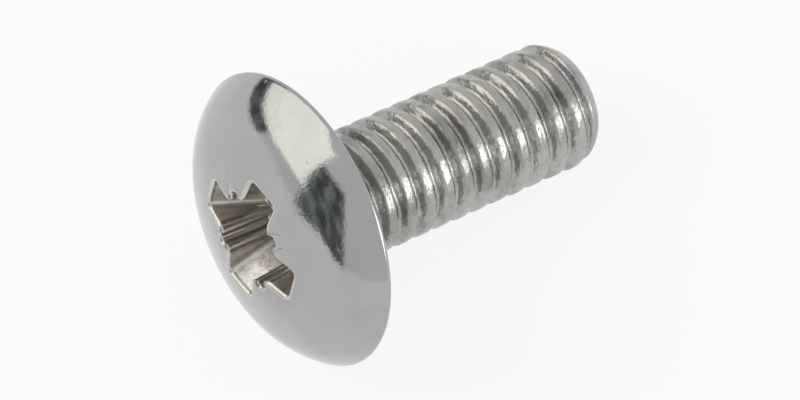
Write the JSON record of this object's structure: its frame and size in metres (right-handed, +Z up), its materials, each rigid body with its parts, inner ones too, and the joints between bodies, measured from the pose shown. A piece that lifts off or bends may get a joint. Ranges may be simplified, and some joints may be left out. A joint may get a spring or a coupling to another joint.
{
  "type": "pan head screw",
  "caption": "Machine screw with a low domed pan head, a cross recess with fine extra grooves between its wings, and a metric thread over its shank.",
  "frame": {"origin": "on the table, under the middle of the box round the lying screw", "axes": "+X from the head towards the tip, +Y along the table across the screw, +Z up; the screw lies on its rim and its last full crest, with its axis in the XZ plane"},
  "size_m": [0.0123, 0.0092, 0.0089],
  "materials": {
    "plating": "bright nickel plating over steel, softly mottled and slightly scuffed"
  },
  "bodies": {
    "root": {"screw": "plating"}
  },
  "joints": []
}
